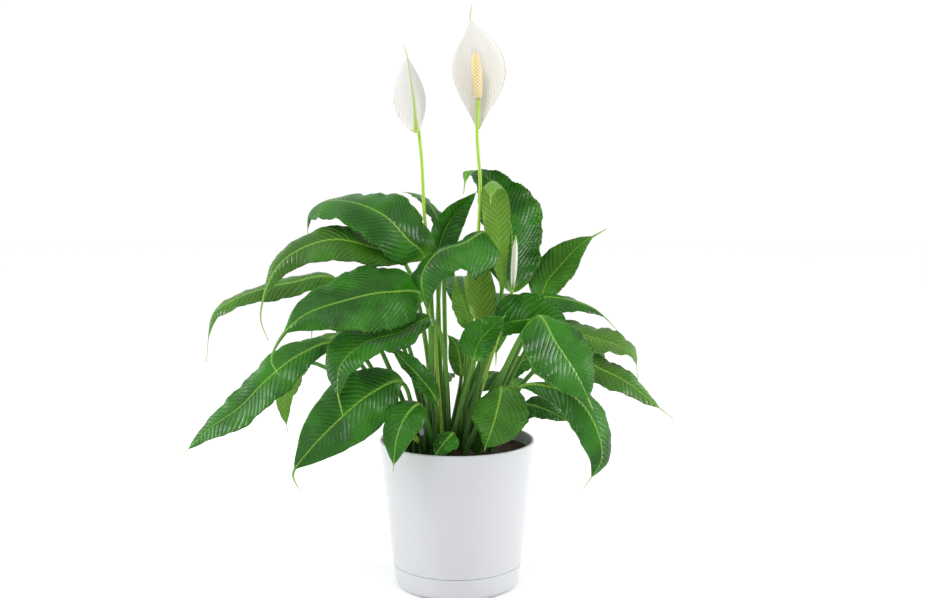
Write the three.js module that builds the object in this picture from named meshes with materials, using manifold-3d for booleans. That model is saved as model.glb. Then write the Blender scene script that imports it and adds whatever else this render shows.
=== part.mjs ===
// A peace lily in a plain round pot. Millimetres, +Z up, origin at the centre of the pot's flat underside.
// Seen from the front (looking along +Y), +X is to the right. Every leaf is one closed solid, because its
// stalk and blade grew as one piece. The stalks stand in sockets in the soil, 0.3 mm clear of it all round.
import * as THREE from "three";
import { mergeVertices } from "three/addons/utils/BufferGeometryUtils.js";
import Module from "manifold-3d";

// ---------------------------------------------------------------- driving dimensions
const GAP = 0.3; // clearance between neighbouring pieces

const POT_HEIGHT = 143;
const POT_FOOT_RADIUS = 60;
const POT_RIM_RADIUS = 75;
const POT_WALL = 3;
const POT_RIM_ROUND = 1.4;
const POT_FLOOR_TOP = 10;
const POT_SIDES = 32;
const DRAIN_HOLE_RADIUS = 4;
const DRAIN_HOLE_CIRCLE = 32;
const DRAIN_HOLES = 5;

const TRAY_TOP = 22;
const TRAY_WALL = 2.4;
const TRAY_FLOOR = 3;
const TRAY_FOOT_ROUND = 6.5;

const SOIL_EDGE_TOP = 132;
const SOIL_CROWN_TOP = 136;

const CROWN_X = -6; // the clump stands a little left of the pot's axis
const SOCKET_FLOOR = 125;
const FOOT_BOTTOM = SOCKET_FLOOR + GAP;
const FOOT_TOP = 140;
const STALK_RADIUS = 2.7;
const KNEE_RADIUS = 1.9;
const MIDRIB_RADIUS = 0.6; // half the thickness of the blade along its midrib
const BLADE_RINGS = 10;
const RING_POINTS = 8;

const FLOWER_STEM_RADIUS = 1.6;
const STEM_SIDES = 8;
const SPADIX_RADIUS = 5;
const BUD_RADIUS = 3.4;

// A blade's outline is t^rise (1 - t)^fall, which is widest at rise / (rise + fall) of its length.
const LEAF_OUTLINE = [0.6, 0.95];
const TAIL_WIDTH = 0.06; // width of the drip tip, as a share of the blade's
const MARGIN_WAVES = 3;
const MARGIN_WAVE_HEIGHT = 0.08;

const COLOURS = {
  pot: 0xe4e6ea,
  soil: 0x2b1a16,
  leaf: 0x2c6a1c,
  stem: 0x93b83c,
  spathe: 0xf4f4ea,
  spadix: 0xeee6c4,
};

// ---------------------------------------------------------------- leaves
// foot: [radius, azimuth] of the stalk's foot around the crown, mm and degrees.
// blade: the midrib's points from the knee, where the stalk ends, to the tip.
// heading: the way the leaf grows out, degrees from +X. width: half the blade's width, mm.
// roll: turn about the midrib at the knee and at the tip, degrees. A positive roll lifts the leaf's right
// edge, seen from the knee. fold: angle of the blade's two halves above flat at the midrib, knee and tip.
// cup: how far each half curls back down to its margin. tail: share of the length that is drip tip.
// outline: the outline's rise and fall, where they differ from LEAF_OUTLINE. wave: the margins' wave height,
// where it differs from MARGIN_WAVE_HEIGHT, as a share of the half-width.
const LEAVES = {
  leaf_01: { foot: [22, 202], heading: 180, width: 33, roll: [75, -15], fold: [18, -15], cup: 25, tail: 0.04,
    blade: [[-29, -22, 318], [-46, -30, 338], [-67, -36, 360], [-96, -32, 372], [-124, -18, 372],
      [-140, -2, 360], [-143, 8, 338]] },
  leaf_02: { foot: [22, 234], heading: 180, width: 20, roll: [45, 60], fold: [0, -5], cup: 30,
    tail: 0.2,
    blade: [[-49, -30, 317], [-78, -42, 331], [-111, -52, 339], [-141, -60, 331], [-161, -64, 316],
      [-174, -64, 290], [-178, -62, 267], [-172, -58, 247]] },
  leaf_03: { foot: [33, 180], heading: 180, width: 16, roll: [40, 20], fold: [-5, 0], cup: 30, tail: 0.12,
    blade: [[-117, 8, 296], [-159, 2, 294], [-191, -3, 287], [-215, -7, 277], [-231, -10, 265],
      [-239, -10, 219]] },
  leaf_04: { foot: [33, 225], heading: 195, width: 36, roll: [50, 45], fold: [12, -5], cup: 35, tail: 0.22,
    blade: [[-30, -45, 284], [-60, -72, 293], [-98, -94, 288], [-132, -108, 277], [-151, -114, 260],
      [-161, -114, 238], [-155, -110, 224]] },
  leaf_05: { foot: [44, 186], heading: 190, width: 11, roll: [20, 80], fold: [10, 10], cup: 10, tail: 0.1,
    blade: [[-105, -20, 244], [-139, -32, 236], [-167, -42, 221], [-191, -48, 195], [-206, -50, 178],
      [-203, -48, 165]] },
  leaf_06: { foot: [44, 204], heading: 190, width: 23, roll: [45, 35], fold: [10, 0], cup: 25,
    tail: 0.04, outline: [0.9, 0.95],
    blade: [[-110, -40, 241], [-143, -55, 234], [-173, -66, 212], [-198, -72, 187], [-223, -76, 170],
      [-248, -80, 146]] },
  leaf_07: { foot: [33, 157], heading: 140, width: 15, roll: [0, 0], fold: [10, 10], cup: 30, tail: 0.08,
    blade: [[-147, 35, 212], [-163, 45, 196], [-174, 50, 173], [-171, 50, 139]] },
  leaf_08: { foot: [22, 267], heading: 195, width: 27, roll: [20, 45], fold: [25, 10], cup: 20,
    tail: 0.12, outline: [0.8, 0.95],
    blade: [[-21, -50, 264], [-51, -72, 256], [-81, -92, 250], [-101, -108, 233], [-104, -112, 213],
      [-100, -108, 188]] },
  leaf_09: { foot: [44, 222], heading: 205, width: 29, roll: [60, 55], fold: [8, 0], cup: 25,
    tail: 0.14, outline: [0.7, 0.95],
    blade: [[-50, -62, 209], [-77, -86, 203], [-107, -104, 180], [-130, -116, 157], [-143, -118, 138],
      [-138, -114, 122]] },
  leaf_10: { foot: [44, 249], heading: 230, width: 17, roll: [30, 30], fold: [8, 8], cup: 30, tail: 0.08,
    blade: [[-33, -74, 190], [-43, -93, 187], [-52, -106, 170], [-56, -110, 138]] },
  leaf_11: { foot: [33, 247], heading: 165, width: 12, roll: [30, 30], fold: [20, 20], cup: 10, tail: 0.05,
    blade: [[-20, -40, 187], [-34, -50, 211], [-50, -58, 230], [-63, -62, 246]] },
  leaf_12: { foot: [44, 268], heading: 215, width: 12, roll: [30, 20], fold: [5, 5], cup: 30, tail: 0.05,
    blade: [[-3, -48, 158], [-10, -56, 153], [-17, -61, 145], [-21, -62, 138]] },
  leaf_13: { foot: [46, 235], heading: 190, width: 9, roll: [20, 10], fold: [10, 10], cup: 20, tail: 0.05,
    blade: [[-36, -48, 152], [-44, -56, 159], [-52, -62, 155], [-56, -66, 148]] },
  leaf_14: { foot: [10, 288], heading: 205, width: 38, roll: [15, 10], fold: [-12, -15], cup: 30, tail: 0.1,
    blade: [[29, -16, 341], [6, -45, 335], [-19, -68, 327], [-31, -87, 306], [-21, -99, 266]] },
  leaf_15: { foot: [10, 72], heading: -90, width: 17, roll: [0, 0], fold: [-20, -20], cup: 35,
    tail: 0.05, outline: [1.1, 0.8],
    blade: [[43, 6, 286], [40, 4, 320], [38, 2, 352], [36, -4, 378], [34, -16, 391], [32, -32, 388],
      [31, -40, 370]] },
  leaf_16: { foot: [22, 71], heading: 60, width: 38, roll: [15, -5], fold: [12, 10], cup: 25,
    tail: 0.06, outline: [0.7, 1.2],
    blade: [[54, 45, 280], [55, 52, 318], [53, 56, 350], [41, 54, 379], [24, 44, 397], [11, 34, 399],
      [6, 26, 378]] },
  leaf_17: { foot: [10, 144], heading: 120, width: 16, roll: [10, 30], fold: [35, 35], cup: 10, tail: 0.05,
    blade: [[-18, 20, 312], [-15, 24, 335], [-3, 27, 358], [21, 24, 382]] },
  leaf_18: { foot: [22, 104], heading: 150, width: 12, roll: [0, 0], fold: [10, 10], cup: 30, tail: 0.05,
    blade: [[-17, 60, 339], [-25, 68, 362], [-40, 78, 375], [-56, 90, 378]] },
  leaf_19: { foot: [22, 332], heading: -100, width: 20, roll: [-20, -10], fold: [-25, -25], cup: 40,
    tail: 0.08,
    blade: [[24, -18, 256], [21, -15, 282], [20, -13, 310], [22, -14, 338]] },
  leaf_20: { foot: [22, 299], heading: -110, width: 12, roll: [10, 10], fold: [-20, -20], cup: 40, tail: 0.08,
    blade: [[13, -42, 255], [9, -46, 274], [3, -50, 291], [-2, -56, 308]] },
  leaf_21: { foot: [33, 22], heading: 20, width: 20, roll: [-45, -50], fold: [20, 20], cup: 15,
    tail: 0.15, outline: [0.7, 1.1],
    blade: [[81, 30, 272], [89, 36, 292], [102, 38, 308], [121, 36, 328], [146, 32, 344]] },
  leaf_22: { foot: [22, 5], heading: 0, width: 20, roll: [-25, -20], fold: [-10, -10], cup: 30, tail: 0.15,
    blade: [[41, 7, 264], [70, -2, 280], [102, -10, 280], [128, -14, 272], [140, -18, 263],
      [153, -17, 249]] },
  leaf_23: { foot: [33, 292], heading: -5, width: 25, roll: [-60, -50], fold: [30, 30], cup: -10, tail: 0.05,
    blade: [[40, -33, 254], [60, -45, 264], [84, -55, 264], [104, -61, 252]] },
  leaf_24: { foot: [33, 315], heading: -50, width: 34, roll: [-10, -15], fold: [5, 5], cup: 25,
    tail: 0.1, outline: [0.8, 0.95],
    blade: [[72, -82, 272], [87, -104, 252], [106, -115, 223], [119, -116, 195]] },
  leaf_25: { foot: [33, 0], heading: 5, width: 20, roll: [-30, -30], fold: [15, 5], cup: 20,
    tail: 0.12, outline: [1.0, 0.95],
    blade: [[86, -10, 254], [120, -22, 247], [150, -34, 239], [164, -40, 232], [168, -44, 208]] },
  leaf_26: { foot: [33, 337], heading: -10, width: 17, roll: [-40, -30], fold: [5, 5], cup: 25,
    tail: 0.14, outline: [0.8, 0.95],
    blade: [[96, -35, 233], [132, -52, 220], [156, -62, 209], [178, -68, 192], [198, -70, 176]] },
  leaf_27: { foot: [44, 308], heading: -25, width: 20, roll: [-30, -50], fold: [-10, -10], cup: 30,
    tail: 0.08, outline: [1.3, 0.95],
    blade: [[55, -55, 202], [80, -74, 208], [107, -92, 200], [124, -100, 175], [129, -98, 146],
      [114, -92, 118]] },
  leaf_28: { foot: [44, 330], heading: -10, width: 13, roll: [-40, -30], fold: [10, 10], cup: 20, tail: 0.05,
    blade: [[63, -28, 180], [82, -36, 179], [105, -42, 168]] },
  leaf_29: { foot: [44, 290], heading: -110, width: 29, roll: [-10, -5], fold: [0, 0], cup: 25, tail: 0.06,
    blade: [[41, -59, 204], [38, -68, 188], [32, -69, 167], [25, -62, 145]] },
  leaf_30: { foot: [33, 270], heading: 30, width: 18, roll: [-30, -60], fold: [30, 30], cup: 10, tail: 0.05,
    blade: [[16, -50, 228], [21, -56, 246], [32, -58, 259], [45, -56, 270]] },
  leaf_31: { foot: [33, 90], heading: 100, width: 11, roll: [0, 0], fold: [10, 10], cup: 30, tail: 0.05,
    blade: [[4, 55, 194], [2, 66, 213], [-3, 76, 226], [-11, 84, 233]] },
  leaf_32: { foot: [44, 42], heading: 30, width: 12, roll: [-20, -20], fold: [0, 0], cup: 30, tail: 0.05,
    blade: [[48, 45, 193], [63, 55, 208], [79, 62, 214], [96, 66, 217]] },
  leaf_33: { foot: [22, 136], heading: 110, width: 14, roll: [0, 0], fold: [10, 10], cup: 20, tail: 0.05,
    blade: [[-17, 60, 296], [-13, 68, 315], [-7, 78, 328], [-5, 92, 333]] },
  leaf_34: { foot: [22, 169], heading: 165, width: 17, roll: [20, 20], fold: [10, 10], cup: 20, tail: 0.05,
    blade: [[-32, 5, 280], [-59, 5, 294], [-85, 2, 300], [-107, -2, 298]] },
  leaf_35: { foot: [33, 67], heading: 80, width: 28, roll: [0, 0], fold: [10, 0], cup: 30, tail: 0.1,
    blade: [[26, 76, 258], [32, 104, 272], [38, 136, 262], [42, 162, 228], [42, 172, 184]] },
  leaf_36: { foot: [44, 120], heading: 125, width: 30, roll: [0, 0], fold: [10, 0], cup: 30, tail: 0.12,
    blade: [[-62, 84, 250], [-84, 112, 252], [-108, 142, 232], [-122, 160, 195], [-124, 164, 160]] },
  leaf_37: { foot: [44, 62], heading: 45, width: 27, roll: [0, 0], fold: [8, 0], cup: 30, tail: 0.1,
    blade: [[80, 92, 236], [108, 106, 234], [142, 116, 208], [156, 128, 168]] },
  leaf_38: { foot: [44, 102], heading: 100, width: 22, roll: [0, 0], fold: [10, 0], cup: 30, tail: 0.1,
    blade: [[-18, 72, 186], [-24, 98, 190], [-30, 124, 172], [-32, 136, 138]] },
  leaf_39: { foot: [44, 86], heading: 60, width: 23, roll: [0, 0], fold: [10, 0], cup: 30, tail: 0.1,
    blade: [[22, 72, 176], [38, 98, 190], [56, 124, 180], [66, 140, 146]] },
  leaf_40: { foot: [33, 135], heading: 150, width: 24, roll: [0, 10], fold: [10, 0], cup: 30, tail: 0.1,
    blade: [[-70, 50, 262], [-98, 68, 278], [-127, 84, 272], [-148, 96, 248], [-152, 100, 220]] },
  leaf_41: { foot: [46, 74], heading: 95, width: 22, roll: [0, 0], fold: [10, 0], cup: 30, tail: 0.1,
    blade: [[10, 58, 262], [8, 82, 284], [6, 108, 290], [4, 132, 276], [2, 146, 246]] },
  leaf_42: { foot: [44, 160], heading: 160, width: 19, roll: [0, 0], fold: [10, 0], cup: 30, tail: 0.1,
    blade: [[-70, 30, 166], [-98, 42, 176], [-126, 54, 160], [-138, 60, 132]] },
  leaf_43: { foot: [44, 22], heading: 25, width: 19, roll: [0, 0], fold: [10, 0], cup: 30, tail: 0.1,
    blade: [[72, 30, 158], [96, 44, 168], [120, 56, 154], [132, 62, 128]] },
};

// ---------------------------------------------------------------- shapes
const radians = THREE.MathUtils.degToRad;
const UP = new THREE.Vector3(0, 0, 1);

const toVector = (point) => new THREE.Vector3(...point);

/** A point on the soil, polar around the crown. */
function crownPoint([radius, azimuth], z) {
  const angle = radians(azimuth);
  return new THREE.Vector3(CROWN_X + radius * Math.cos(angle), radius * Math.sin(angle), z);
}

/** Half-width of a blade at t, 0 at the knee and 1 at the tip, as a share of its greatest. */
function outline(t, tail, [rise, fall]) {
  const inner = Math.min(t / (1 - tail), 1);
  const peak = rise / (rise + fall);
  const body = (inner / peak) ** rise * ((1 - inner) / (1 - peak)) ** fall;
  const drip = TAIL_WIDTH * Math.min(1, 4 * (1 - t));
  return t > 0 ? Math.max(body, drip) : 0;
}

/**
 * Across and upward offsets of the blade's mid-surface at v, -1 and 1 at the margins, per unit of width, and
 * the angle that it slopes up at there. Each half is an arc that starts at the fold and turns by the cup.
 */
function section(v, fold, cup) {
  const bend = cup || 1e-3;
  const slope = fold - bend * Math.abs(v);
  const across = (Math.sin(fold) - Math.sin(slope)) / bend;
  const upward = (Math.cos(slope) - Math.cos(fold)) / bend;
  return [across * Math.sign(v), upward, slope * Math.sign(v)];
}

/** Unit vectors along, across and out of the upper side of a leaf that heads towards `heading`. */
function leafFrame(along, heading, roll) {
  const across = new THREE.Vector3(Math.sin(heading), -Math.cos(heading), 0);
  across.addScaledVector(along, -across.dot(along)).normalize();
  const normal = new THREE.Vector3().crossVectors(across, along);
  const tilted = across.clone().multiplyScalar(Math.cos(roll)).addScaledVector(normal, Math.sin(roll));
  const raised = normal.clone().multiplyScalar(Math.cos(roll)).addScaledVector(across, -Math.sin(roll));
  return [tilted, raised];
}

/** A closed skin over a stack of rings that all have the same number of points. */
function skin(rings) {
  const count = rings[0].length;
  const position = rings.flat().flatMap((point) => point.toArray());
  const index = [];
  for (let ring = 0; ring + 1 < rings.length; ring += 1) {
    for (let k = 0; k < count; k += 1) {
      const a = ring * count + k;
      const b = ring * count + ((k + 1) % count);
      // The lower half is split along the other diagonal, so that both sides of a blade bend the same way.
      if (k < count / 2) {
        index.push(a, b, a + count, b, b + count, a + count);
      } else {
        index.push(a, b, b + count, a, b + count, a + count);
      }
    }
  }
  const last = (rings.length - 1) * count;
  for (let k = 1; k + 1 < count; k += 1) {
    index.push(0, k + 1, k);
    index.push(last, last + k, last + k + 1);
  }
  const geometry = new THREE.BufferGeometry();
  geometry.setAttribute("position", new THREE.Float32BufferAttribute(position, 3));
  geometry.setIndex(index);
  geometry.computeVertexNormals();
  return geometry;
}

/** One ring of a leaf: the blade's mid-surface, thickened by the round section of its stalk or midrib. */
function leafRing(centre, frame, width, radius, t, leaf) {
  const [across, normal] = frame;
  const fold = radians(THREE.MathUtils.lerp(leaf.fold[0], leaf.fold[1], t));
  const ring = [];
  for (let k = 0; k < RING_POINTS; k += 1) {
    const v = 1 - Math.abs((4 * k) / RING_POINTS - 2);
    const [sideways, upward, slope] = section(v, fold, radians(leaf.cup));
    const turn = (k * 2 * Math.PI) / RING_POINTS - slope * (width / (width + 2 * radius));
    const phase = 2 * Math.PI * (MARGIN_WAVES * t + 0.35 * Math.sign(v));
    const wave = (leaf.wave ?? MARGIN_WAVE_HEIGHT) * v * v * Math.sin(phase);
    const x = width * sideways - radius * Math.cos(turn);
    const y = width * (upward + wave) + radius * Math.sin(turn);
    ring.push(centre.clone().addScaledVector(across, x).addScaledVector(normal, y));
  }
  return ring;
}

/** A leaf, from the foot of its stalk to its tip. Without a stalk it is a spathe. */
function leafGeometry(leaf, stalk) {
  const guide = [...stalk, ...leaf.blade.map(toVector)];
  const curve = new THREE.CatmullRomCurve3(guide, false, "centripetal");
  curve.arcLengthDivisions = 400;
  const lengths = curve.getLengths();
  const total = lengths[lengths.length - 1];
  const shareAt = (i) => lengths[Math.round((i / (guide.length - 1)) * curve.arcLengthDivisions)] / total;
  const knee = shareAt(stalk.length);
  const stops = stalk.length > 0 ? [0, shareAt(1), (shareAt(1) + knee) / 2] : [];
  for (let i = 0; i <= BLADE_RINGS; i += 1) {
    stops.push(knee + ((1 - knee) * i) / BLADE_RINGS);
  }
  const heading = radians(leaf.heading);
  const rings = stops.map((u) => {
    const t = Math.max(0, (u - knee) / (1 - knee));
    const roll = radians(THREE.MathUtils.lerp(leaf.roll[0], leaf.roll[1], t));
    const frame = leafFrame(curve.getTangentAt(u), heading, roll);
    const neck = Math.exp(-8 * t);
    const upStalk = knee > 0 ? Math.min(u / knee, 1) : 1;
    const stalkRadius = THREE.MathUtils.lerp(STALK_RADIUS, KNEE_RADIUS, upStalk);
    const radius = THREE.MathUtils.lerp(MIDRIB_RADIUS, stalkRadius, neck);
    const width = leaf.width * outline(t, leaf.tail, leaf.outline ?? LEAF_OUTLINE);
    return leafRing(curve.getPointAt(u), frame, width, radius, t, leaf);
  });
  return skin(rings);
}

/** A round stem along a curve through the given points. */
function stemGeometry(points, radius) {
  const profile = new THREE.Shape();
  for (let k = 0; k < STEM_SIDES; k += 1) {
    const turn = (2 * Math.PI * k) / STEM_SIDES;
    const move = k === 0 ? "moveTo" : "lineTo";
    profile[move](radius * Math.cos(turn), radius * Math.sin(turn));
  }
  profile.closePath();
  const path = new THREE.CatmullRomCurve3(points, false, "centripetal");
  const options = { steps: 2 * points.length, extrudePath: path, bevelEnabled: false };
  return new THREE.ExtrudeGeometry(profile, options);
}

/** A solid of revolution about +Z from [radius, z] points that start and end on the axis, or close. */
function turned(points, sides) {
  const geometry = new THREE.LatheGeometry(points.map(([r, z]) => new THREE.Vector2(r, z)), sides);
  return geometry.rotateX(Math.PI / 2);
}

/** A round arc of [radius, z] points, angles in degrees from the radial direction. */
function arc(centreR, centreZ, radius, from, to, steps) {
  return Array.from({ length: steps + 1 }, (_, i) => {
    const angle = radians(from + ((to - from) * i) / steps);
    return [centreR + radius * Math.cos(angle), centreZ + radius * Math.sin(angle)];
  });
}

const wasm = await Module();
wasm.setup();

function toSolid(geometry) {
  const bare = geometry.clone();
  bare.deleteAttribute("normal");
  bare.deleteAttribute("uv");
  const merged = mergeVertices(bare, 1e-4);
  const vertProperties = new Float32Array(merged.attributes.position.array);
  const triVerts = new Uint32Array(merged.index.array);
  return new wasm.Manifold(new wasm.Mesh({ numProp: 3, vertProperties, triVerts }));
}

function fromSolid(solid) {
  const mesh = solid.getMesh();
  const geometry = new THREE.BufferGeometry();
  geometry.setAttribute("position", new THREE.BufferAttribute(mesh.vertProperties, 3));
  geometry.setIndex(new THREE.BufferAttribute(mesh.triVerts, 1));
  geometry.computeVertexNormals();
  return geometry;
}

/** A geometry with upright round holes cut through it. */
function drilled(geometry, centres, radius, bottom, top) {
  let solid = toSolid(geometry);
  for (const centre of centres) {
    const drill = new THREE.CylinderGeometry(radius, radius, top - bottom, STEM_SIDES);
    drill.rotateX(Math.PI / 2).translate(centre.x, centre.y, (top + bottom) / 2);
    solid = solid.subtract(toSolid(drill));
  }
  return fromSolid(solid);
}

// ---------------------------------------------------------------- pot, tray and soil
const potSlope = (POT_RIM_RADIUS - POT_FOOT_RADIUS) / POT_HEIGHT;
const outerRadius = (z) => POT_FOOT_RADIUS + potSlope * z;
const innerRadius = (z) => outerRadius(z) - POT_WALL;
const linerRadius = (z) => outerRadius(z) - TRAY_WALL - GAP;

function trayGeometry() {
  const foot = arc(outerRadius(0) - TRAY_FOOT_ROUND, TRAY_FOOT_ROUND, TRAY_FOOT_ROUND, -90, 0, 5);
  return turned([
    [0, 0],
    ...foot,
    [outerRadius(TRAY_TOP), TRAY_TOP],
    [outerRadius(TRAY_TOP) - TRAY_WALL, TRAY_TOP],
    [outerRadius(TRAY_FLOOR + 4) - TRAY_WALL, TRAY_FLOOR + 4],
    [outerRadius(TRAY_FLOOR) - TRAY_WALL - 4, TRAY_FLOOR],
    [0, TRAY_FLOOR],
  ], POT_SIDES);
}

function potGeometry() {
  const shoulder = TRAY_TOP + GAP;
  const bottom = TRAY_FLOOR + GAP;
  const rimInner = POT_RIM_RADIUS - POT_WALL;
  const shell = turned([
    [0, bottom],
    [linerRadius(bottom) - 5, bottom],
    [linerRadius(bottom + 5), bottom + 5],
    [linerRadius(shoulder), shoulder],
    [outerRadius(shoulder), shoulder],
    ...arc(POT_RIM_RADIUS - POT_RIM_ROUND, POT_HEIGHT - POT_RIM_ROUND, POT_RIM_ROUND, 0, 90, 3),
    ...arc(rimInner + POT_RIM_ROUND, POT_HEIGHT - POT_RIM_ROUND, POT_RIM_ROUND, 90, 180, 3),
    [innerRadius(shoulder + 4), shoulder + 4],
    [linerRadius(shoulder - 4) - POT_WALL, shoulder - 4],
    [linerRadius(POT_FLOOR_TOP) - POT_WALL, POT_FLOOR_TOP],
    [0, POT_FLOOR_TOP],
  ], POT_SIDES);
  const holes = Array.from({ length: DRAIN_HOLES }, (_, i) => {
    const angle = (2 * Math.PI * i) / DRAIN_HOLES;
    return new THREE.Vector3(DRAIN_HOLE_CIRCLE * Math.cos(angle), DRAIN_HOLE_CIRCLE * Math.sin(angle), 0);
  });
  return drilled(shell, holes, DRAIN_HOLE_RADIUS, 0, POT_FLOOR_TOP + 1);
}

function soilGeometry(feet) {
  const bottom = POT_FLOOR_TOP + GAP;
  const shoulder = TRAY_TOP + GAP;
  const body = turned([
    [0, bottom],
    [linerRadius(bottom) - POT_WALL - GAP, bottom],
    [linerRadius(shoulder - 4) - POT_WALL - GAP, shoulder - 4],
    [innerRadius(shoulder + 4) - GAP, shoulder + 4],
    [innerRadius(SOIL_EDGE_TOP) - GAP, SOIL_EDGE_TOP],
    [innerRadius(SOIL_EDGE_TOP) - 20, (SOIL_EDGE_TOP + SOIL_CROWN_TOP) / 2],
    [0, SOIL_CROWN_TOP],
  ], POT_SIDES);
  return drilled(body, feet, STALK_RADIUS + 2 * GAP, SOCKET_FLOOR, SOIL_CROWN_TOP + 5);
}

// ---------------------------------------------------------------- flowers
// Each flower is a bare stem from the soil, a white spathe behind it and a spadix on the stem's end.
const FLOWERS = {
  flower_1: { foot: [10, 216],
    stem: [[-27, -5, 314], [-31, -6, 365], [-33, -6, 409], [-35, -5, 430], [-37, -2, 448]],
    spadixTop: [-42, 7, 486],
    spathe: { heading: -70, width: 20, roll: [0, 0], fold: [30, 15], cup: -25, tail: 0.12,
      outline: [0.8, 1.1], wave: 0,
      blade: [[-37.5, -11, 436], [-40, -14, 466], [-44, -12, 492], [-46.5, -8, 508], [-49, -6, 516]] } },
  flower_2: { foot: [10, 0],
    stem: [[18, -2, 300], [20, -2, 336], [22, -2, 388], [19, -2, 434], [20, -6, 468]],
    spadixTop: [17, -8, 511],
    spathe: { heading: 90, width: 30, roll: [0, 0], fold: [30, 10], cup: -25, tail: 0.12,
      outline: [1.2, 1.2], wave: 0,
      blade: [[20, 2.6, 440], [20.5, 8, 466], [20.5, 12, 492], [17, 12, 524], [12.5, 9, 543],
        [14, 6, 555]] } },
};
const BUD = { foot: [22, 38], stem: [[54, 22, 285]], tip: [57, 24, 338] };

/** An upright spindle of the given radius from one point to another, round at its top. */
function spindle(from, to, radius, rows) {
  const axis = new THREE.Vector3().subVectors(to, from);
  const length = axis.length();
  const side = rows.map(([share, height]) => [radius * share, length * height]);
  const geometry = turned([[0, 0], ...side, [0, length]], STEM_SIDES + 4);
  const turn = new THREE.Quaternion().setFromUnitVectors(UP, axis.normalize());
  return geometry.applyQuaternion(turn).translate(from.x, from.y, from.z);
}

const SPADIX_ROWS = [[0.55, 0], [0.95, 0.12], [1, 0.4], [0.95, 0.7], [0.7, 0.92]];
const BUD_ROWS = [[0.5, 0], [0.9, 0.2], [1, 0.45], [0.75, 0.75], [0.3, 0.95]];

// ---------------------------------------------------------------- the plant
const plant = new THREE.Group();

function add(name, geometry, color, roughness) {
  const mesh = new THREE.Mesh(geometry, new THREE.MeshStandardMaterial({ color, roughness, metalness: 0 }));
  mesh.name = name;
  plant.add(mesh);
}

const stalkOf = (foot) => [crownPoint(foot, FOOT_BOTTOM), crownPoint(foot, FOOT_TOP)];
const growths = [...Object.values(LEAVES), ...Object.values(FLOWERS), BUD];
const feet = growths.map(({ foot }) => crownPoint(foot, 0));

add("drip_tray", trayGeometry(), COLOURS.pot, 0.25);
add("pot", potGeometry(), COLOURS.pot, 0.25);
add("soil", soilGeometry(feet), COLOURS.soil, 0.95);

for (const [name, leaf] of Object.entries(LEAVES)) {
  add(name, leafGeometry(leaf, stalkOf(leaf.foot)), COLOURS.leaf, 0.45);
}

for (const [name, flower] of Object.entries(FLOWERS)) {
  const stem = [...stalkOf(flower.foot), ...flower.stem.map(toVector)];
  const top = toVector(flower.spadixTop);
  const end = stem[stem.length - 1];
  const start = end.clone().lerp(top, (2 * GAP) / end.distanceTo(top));
  add(`${name}_stem`, stemGeometry(stem, FLOWER_STEM_RADIUS), COLOURS.stem, 0.5);
  add(`${name}_spathe`, leafGeometry(flower.spathe, []), COLOURS.spathe, 0.55);
  add(`${name}_spadix`, spindle(start, top, SPADIX_RADIUS, SPADIX_ROWS), COLOURS.spadix, 0.7);
}

const budStem = [...stalkOf(BUD.foot), ...BUD.stem.map(toVector)];
const budBase = budStem[budStem.length - 1].clone().addScaledVector(UP, 2 * GAP);
add("bud_stem", stemGeometry(budStem, FLOWER_STEM_RADIUS), COLOURS.stem, 0.5);
add("bud_spathe", spindle(budBase, toVector(BUD.tip), BUD_RADIUS, BUD_ROWS), COLOURS.stem, 0.5);

export default plant;
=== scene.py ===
# %% [markdown]
# # A potted peace lily
# The plant stands in a plain white pot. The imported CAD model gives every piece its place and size, and this
# lesson gives each one its real surface: veined leaves, white spathes, bumpy spadices, crumbly soil and a
# smooth moulded pot. Lengths in the tables are millimetres, and the scene is in metres.

# %% Load the frame
import bpy
import numpy as np
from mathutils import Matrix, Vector


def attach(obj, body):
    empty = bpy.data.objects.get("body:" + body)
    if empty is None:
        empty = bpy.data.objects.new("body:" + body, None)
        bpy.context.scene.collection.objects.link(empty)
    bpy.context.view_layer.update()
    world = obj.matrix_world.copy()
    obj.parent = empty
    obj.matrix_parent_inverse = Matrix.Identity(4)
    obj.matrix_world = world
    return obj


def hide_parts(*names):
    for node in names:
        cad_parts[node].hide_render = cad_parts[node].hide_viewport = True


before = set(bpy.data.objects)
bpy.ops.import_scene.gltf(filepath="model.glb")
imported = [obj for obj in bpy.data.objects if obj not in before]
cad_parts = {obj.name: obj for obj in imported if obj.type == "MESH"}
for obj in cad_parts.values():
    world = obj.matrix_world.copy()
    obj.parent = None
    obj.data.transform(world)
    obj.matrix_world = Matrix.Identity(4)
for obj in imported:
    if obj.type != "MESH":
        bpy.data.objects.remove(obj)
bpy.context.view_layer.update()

MM = 0.001

# %% [markdown]
# ## The studio
# A product like this is shot in a light tent: white all round, on a white floor that runs up behind. Two
# small lights beside the plant and a softer one above it make the gloss on the leaves. The side lights also
# leave the middle of the round pot a little darker than its edges.

# %% Colour and camera
CAMERA_PLACE = (0.0053, -1.2, 0.416)
CAMERA_PITCH = 0.114
CAMERA_LENS = 49.2


def linear(code):
    """An sRGB hex colour as the linear RGBA that Blender's sockets hold."""
    channels = [int(code[i:i + 2], 16) / 255 for i in (1, 3, 5)]
    return (*[c / 12.92 if c <= 0.04045 else ((c + 0.055) / 1.055) ** 2.4 for c in channels], 1.0)


scene = bpy.context.scene
scene.view_settings.view_transform = "Standard"
camera = bpy.data.objects.new("camera", bpy.data.cameras.new("camera"))
camera.data.lens = CAMERA_LENS
camera.data.sensor_width = 36
camera.location = CAMERA_PLACE
camera.rotation_euler = (np.pi / 2 - CAMERA_PITCH, 0, 0)
scene.collection.objects.link(camera)
scene.camera = camera
print("camera at", tuple(camera.location), "lens", CAMERA_LENS)

# %% Lights
PLANT_MIDDLE = (0, 0, 0.28)
TENT_BRIGHTNESS = 1.04


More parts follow.
